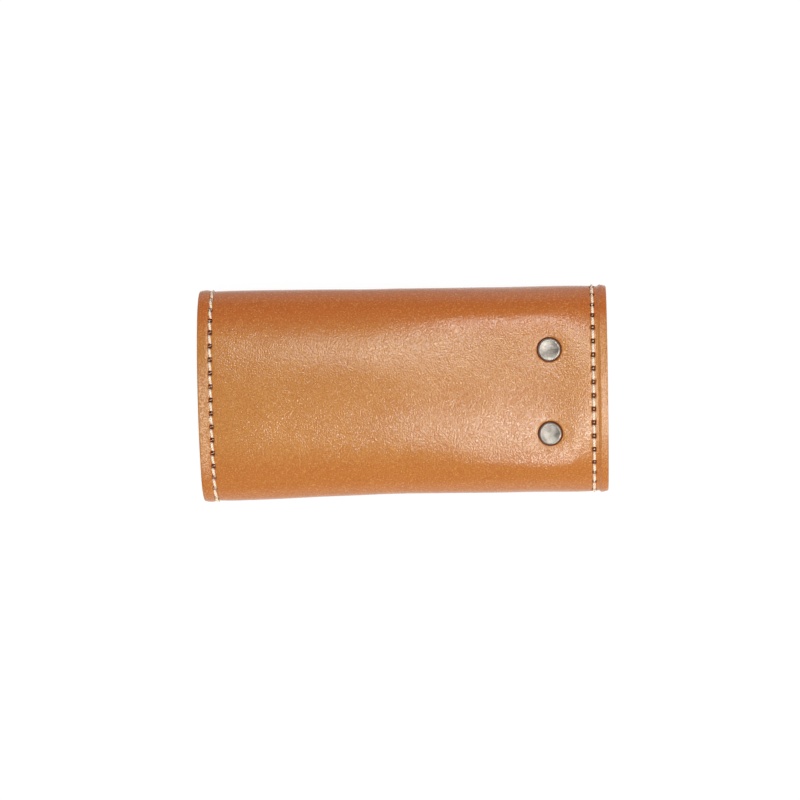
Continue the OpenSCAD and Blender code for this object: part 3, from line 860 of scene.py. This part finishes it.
def threadPiece(name, low, high, outer):
    # a round bar's mesh is filled with one run of rings for each stitch along this length of the skin
    sides, stations = stitch["sides"], stitch["stations"]
    bpy.ops.object.select_all(action="DESELECT")
    bpy.ops.mesh.primitive_cylinder_add(vertices=sides, radius=stitch["thread"] / 2 * mm,
                                        depth=stitch["pitch"] * mm)
    piece = bpy.context.object
    piece.name = piece.data.name = name
    angles = np.arange(sides) / sides * 2 * math.pi
    ends = np.append(holeLengths[1:], holeLengths[0] + pathLengths[-1])
    middles, directions = pathAt((holeLengths + ends) / 2)
    points, faces, lays = [], [], []
    for start, end, middle in zip(holeLengths, ends, middles):
        if not low <= middle[1] < high:
            continue
        first = len(points)
        for t in stations:
            points += list(threadRing(t, start, end, middle, angles, outer))
            lays += [(t, angle / (2 * math.pi), 0) for angle in angles]
        for ring in range(len(stations) - 1):
            a = first + ring * sides
            for k in range(sides):
                n = (k + 1) % sides
                face = (a + k, a + n, a + sides + n, a + sides + k)
                faces.append(face if outer else face[::-1])
        foot = tuple(first + k for k in range(sides))
        head = tuple(k + (len(stations) - 1) * sides for k in foot)
        faces += [foot[::-1], head] if outer else [foot, head[::-1]]
    mesh = piece.data
    mesh.clear_geometry()
    mesh.from_pydata([tuple(p * mm) for p in points], [], faces)
    mesh.validate()
    mesh.attributes.new("lay", "FLOAT_VECTOR", "POINT").data.foreach_set("vector", np.array(lays).ravel())
    mesh.shade_smooth()
    mesh.materials.append(thread)
    bpy.ops.object.mode_set(mode="EDIT")
    bpy.ops.mesh.select_all(action="SELECT")
    bpy.ops.mesh.normals_make_consistent(inside=False)
    bpy.ops.object.mode_set(mode="OBJECT")
    return piece


for name, low, high, bodyA, bodyB, span, lengths in skinLengths:
    parts = [(skinPiece(name + "_skin", low, high, True, leather), "tan_leather", "_leather"),
             (skinPiece(name + "_inside", low, high, False, lining), "lining_leather", "_lining"),
             (threadPiece(name + "_seam", low, high, True), "thread", "_stitches"),
             (threadPiece(name + "_seam_inside", low, high, False), "thread", "_stitches")]
    for piece, slot, ending in parts:
        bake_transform(piece)
        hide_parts(*[length + ending for length in lengths])
    print("skin of", name)


# The rivets' caps

cap = {
    "sides": 64,
    "sharp": 35,                                 # edges under this angle are shaded smooth
    "base": case["top"] - 0.9,                   # the foot is sunk in the leather
    "foot": [(2.2, 0), (2.86, 0.1), (2.97, 0.4)],            # radius, and height over the base
    "crown": [(3.0, -0.42), (2.97, -0.24), (2.88, -0.1), (2.72, -0.02), (2.56, 0), (2.4, -0.015),
              (2.2, -0.06), (1.6, -0.14), (0.9, -0.19), (0.25, -0.21)],      # and height over the top
}
capRise = rivet["top"] - cap["base"]
capProfile = cap["foot"] + [(radius, capRise + height) for radius, height in cap["crown"]]


def turned(name, profile, places, z, finish):
    # a disc is extruded ring by ring up its profile of radius and height, and copied to each place
    bpy.ops.object.select_all(action="DESELECT")
    bpy.ops.mesh.primitive_circle_add(vertices=cap["sides"], radius=profile[0][0] * mm,
                                      fill_type="NOTHING", location=(0, 0, profile[0][1] * mm))
    whole = bpy.context.object
    bpy.ops.object.transform_apply(location=True, rotation=True, scale=True)
    bpy.ops.object.mode_set(mode="EDIT")
    bpy.ops.mesh.select_all(action="SELECT")
    bpy.ops.mesh.edge_face_add()
    bpy.ops.mesh.select_all(action="DESELECT")
    bpy.ops.object.mode_set(mode="OBJECT")
    for polygon in whole.data.polygons:
        polygon.select = True
    bpy.ops.object.mode_set(mode="EDIT")
    for (radius, height), (nextRadius, nextHeight) in zip(profile, profile[1:]):
        upwards = (0, 0, (nextHeight - height) * mm)
        share = nextRadius / radius
        bpy.ops.mesh.extrude_region_move(TRANSFORM_OT_translate={"value": upwards})
        bpy.ops.transform.resize(value=(share, share, 1), center_override=(0, 0, 0))
    bpy.ops.mesh.select_all(action="SELECT")
    bpy.ops.mesh.normals_make_consistent(inside=False)
    bpy.ops.object.mode_set(mode="OBJECT")
    copies = [whole.copy() for place in places[1:]]
    for piece in copies:
        piece.data = whole.data.copy()
        bpy.context.scene.collection.objects.link(piece)
    for piece, (x, y) in zip([whole] + copies, places):
        piece.location = (x * mm, y * mm, z * mm)
        piece.select_set(True)
    bpy.context.view_layer.objects.active = whole
    bpy.ops.object.join()
    bpy.ops.object.transform_apply(location=True, rotation=True, scale=True)
    bpy.ops.object.shade_smooth_by_angle(angle=math.radians(cap["sharp"]))
    whole.name = whole.data.name = name
    whole.data.materials.append(finish)
    return whole


caps = turned("rivet_faces", capProfile, rivetPlaces, cap["base"], nickel)
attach(caps, "back")
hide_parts("rivet_caps")
print("rivets turned")


# Pressed and drawn metal pieces: each takes its CAD node's shape, with its edges eased and polished

metal = {
    "edge": 0.14,                                # width of an eased edge
    "edgePin": 0.05,
    "steps": 2,
    "sharp": 35,                                 # edges steeper than this are eased
    "smooth": 30,                                # and those under this are shaded smooth
    "merge": 0.001,                              # the CAD mesh's doubles are merged within this
    "flat": 0.5,                                 # and its flat faces joined within this angle
}


def easedPiece(node, finish, width):
    piece = bpy.data.objects.new(node + "_metal", frame["nodes"][node].data.copy())
    bpy.context.scene.collection.objects.link(piece)
    bpy.ops.object.select_all(action="DESELECT")
    piece.select_set(True)
    bpy.context.view_layer.objects.active = piece
    bpy.ops.object.mode_set(mode="EDIT")
    bpy.ops.mesh.select_all(action="SELECT")
    bpy.ops.mesh.remove_doubles(threshold=metal["merge"] * mm)
    bpy.ops.mesh.dissolve_limited(angle_limit=math.radians(metal["flat"]))
    bpy.ops.object.mode_set(mode="OBJECT")
    bevel = piece.modifiers.new("eased", "BEVEL")
    bevel.width = width * mm
    bevel.segments = metal["steps"]
    bevel.limit_method = "ANGLE"
    bevel.angle_limit = math.radians(metal["sharp"])
    bevel.miter_outer = "MITER_ARC"
    bpy.ops.object.modifier_apply(modifier=bevel.name)
    bpy.ops.object.shade_smooth_by_angle(angle=math.radians(metal["smooth"]))
    piece.data.materials.clear()
    piece.data.materials.append(finish)
    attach(piece, frame["nodes"][node]["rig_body"])
    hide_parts(node)


for node in ("rivet_backs", "key_plate", "hook_rod", "snap_caps", "snap_sockets", "snap_studs", "snap_posts"):
    easedPiece(node, nickel, metal["edge"])
for number in range(1, 5):
    easedPiece(f"hook_{number}", steel, metal["edge"])
    easedPiece(f"gate_{number}", steel, metal["edge"])
    easedPiece(f"gate_pin_{number}", steel, metal["edgePin"])
print("metal pieces eased")


# Stage, lights and camera

stage = {
    "floorSize": 4.0,
    "floorGrey": 0.9,                            # the floor's own colour, which keeps the shadow
    "floorGlow": 1.05,                           # white laid over it where it is seen, by a share
    "floorShare": 0.9,
    "ambient": 0.3,
    "cameraHeight": 0.58,
    "cameraSide": 0.037,
    "cameraFront": 0.042,
    "frameWidth": 0.2102,                        # what the photograph spans at the leather's level
    "aimX": -0.0005,
    "aimY": -0.0016,
    "roll": 1.15,
    "sensor": 36,
}


def floorFinish():
    f = Finish("floor")
    grey = stage["floorGrey"]
    lit = f.node("ShaderNodeBsdfDiffuse", None, {"Color": (grey, grey, grey, 1)})
    glow = f.node("ShaderNodeEmission", None, {"Color": (1, 1, 1, 1), "Strength": stage["floorGlow"]})
    clear = f.node("ShaderNodeBsdfTransparent", None, {"Color": (1, 1, 1, 1)})
    camera = f.node("ShaderNodeLightPath", None, None, 0)
    shadow = f.node("ShaderNodeLightPath", None, None, 1)
    glossy = f.node("ShaderNodeLightPath", None, None, 3)
    seen = f.node("ShaderNodeMath", {"operation": "MAXIMUM"}, {0: camera, 1: glossy})
    white = f.node("ShaderNodeMixShader", None, {0: seen * stage["floorShare"], 1: lit, 2: glow})
    below = f.node("ShaderNodeNewGeometry", None, None, 6)
    # from below the floor is clear, and it lets the lamp under it light the case
    passing = f.node("ShaderNodeMath", {"operation": "MAXIMUM"}, {0: below, 1: shadow})
    both = f.node("ShaderNodeMixShader", None, {0: passing, 1: white, 2: clear})
    f.node("ShaderNodeOutputMaterial", None, {"Surface": both})
    return f.material


bpy.ops.object.select_all(action="DESELECT")
bpy.ops.mesh.primitive_plane_add(size=stage["floorSize"], location=(0, 0, 0))
floor = bpy.context.object
floor.name = "floor"
floor.data.materials.append(floorFinish())

cool, plain = (0.9, 1.0, 1.0), (1.0, 1.0, 1.0)
lamps = [
    # name, place, watts, width and depth, colour, and whether reflections show it
    ("upper_softbox", (0.025, 0.19, 0.8), 1.1, (0.29, 0.15), cool, True),
    ("corner_softbox", (0.166, 0.33, 0.8), 0.34, (0.1, 0.12), cool, True),
    ("lower_softbox", (0.083, -0.25, 0.8), 1.12, (0.115, 0.18), cool, True),
    ("right_card", (0.3, -0.1, 0.6), 1.3, (0.16, 0.5), plain, True),
    ("front_fill", (0.0, -0.75, 0.6), 3.0, (0.8, 0.8), plain, False),
    ("overhead_fill", (0.0, 0.0, 0.9), 1.15, (0.8, 0.8), plain, False),
    ("under_fill", (0.0, 0.0, -0.8), 2.4, (0.8, 0.8), plain, False),
]
lampAim = Vector((0, 0, 0.01))
for name, place, watts, size, colour, shown in lamps:
    light = bpy.data.lights.new(name, "AREA")
    light.shape = "RECTANGLE"
    light.size, light.size_y = size
    light.energy = watts
    light.color = colour
    holder = bpy.data.objects.new(name, light)
    holder.location = place
    holder.rotation_euler = (lampAim - Vector(place)).to_track_quat("-Z", "Y").to_euler()
    holder.visible_glossy = shown
    bpy.context.scene.collection.objects.link(holder)


def studioFinish():                              # white walls to look at and to reflect, and a dim ceiling
    f = Finish("studio", bpy.data.worlds)
    seen = f.node("ShaderNodeLightPath", None, None, 0)
    mirrored = f.node("ShaderNodeLightPath", None, None, 3)
    heading = f.node("ShaderNodeTexCoord", None, None, 0)
    up = f.node("ShaderNodeSeparateXYZ", None, {0: heading}, 2)
    walls = 1 - up.between(0.05, 0.45) * (1 - stage["ambient"])
    other = stage["ambient"] + mirrored * (walls - stage["ambient"])
    light = seen + (1 - seen) * other
    back = f.node("ShaderNodeBackground", None, {"Color": (1, 1, 1, 1), "Strength": light})
    f.node("ShaderNodeOutputWorld", None, {"Surface": back})
    return f.material


bpy.context.scene.world = studioFinish()
print("stage lit")

camera = bpy.data.cameras.new("camera")
holder = bpy.data.objects.new("camera", camera)
bpy.context.scene.collection.objects.link(holder)
aim = Vector((stage["aimX"], stage["aimY"], case["top"] * mm))
holder.location = aim + Vector((stage["cameraSide"], stage["cameraFront"], stage["cameraHeight"]))
away = aim - holder.location
roll = math.radians(stage["roll"])
right = away.cross(Vector((math.sin(roll), math.cos(roll), 0))).normalized()
upward = right.cross(away).normalized()
facing = Matrix((right, upward, -away.normalized())).transposed()
holder.rotation_euler = facing.to_euler()
camera.sensor_width = stage["sensor"]
camera.lens = camera.sensor_width * away.length / stage["frameWidth"]
camera.clip_start = 0.01
camera.clip_end = 20
bpy.context.scene.camera = holder
bpy.context.scene.view_settings.view_transform = "Standard"
